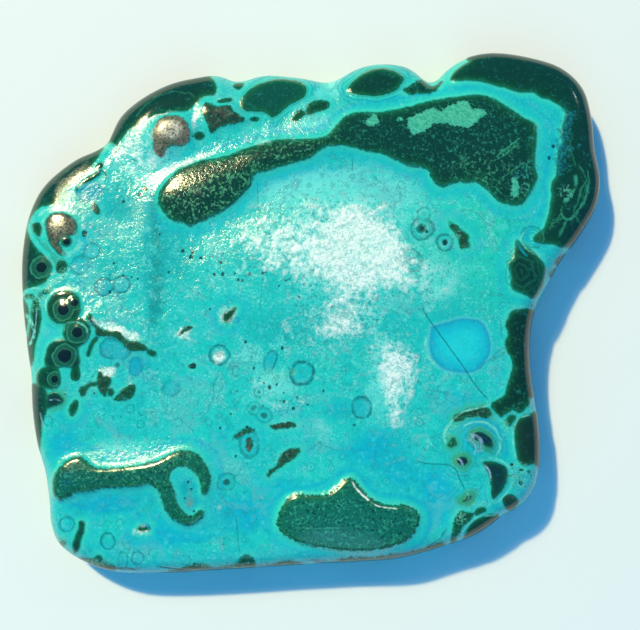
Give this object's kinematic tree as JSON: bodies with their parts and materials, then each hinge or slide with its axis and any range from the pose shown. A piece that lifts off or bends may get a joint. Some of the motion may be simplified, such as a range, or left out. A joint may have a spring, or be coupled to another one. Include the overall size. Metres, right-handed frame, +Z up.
{
  "type": "polished chrysocolla specimen",
  "caption": "Flat polished freeform slab of turquoise chrysocolla with dark green malachite windows, lobed natural outline, rounded edge and sawn flat underside.",
  "frame": {"origin": "middle of the slab's bounding box, on the sawn flat underside", "axes": "+Z up out of the polished face, +X along the longer side to the right, +Y towards the lobed back edge"},
  "size_m": [0.185, 0.166, 0.0208],
  "materials": {
    "polished_stone": "high polish, turquoise chrysocolla over dark green banded malachite"
  },
  "bodies": {
    "root": {"chrysocolla_slab": "polished_stone"}
  },
  "joints": []
}
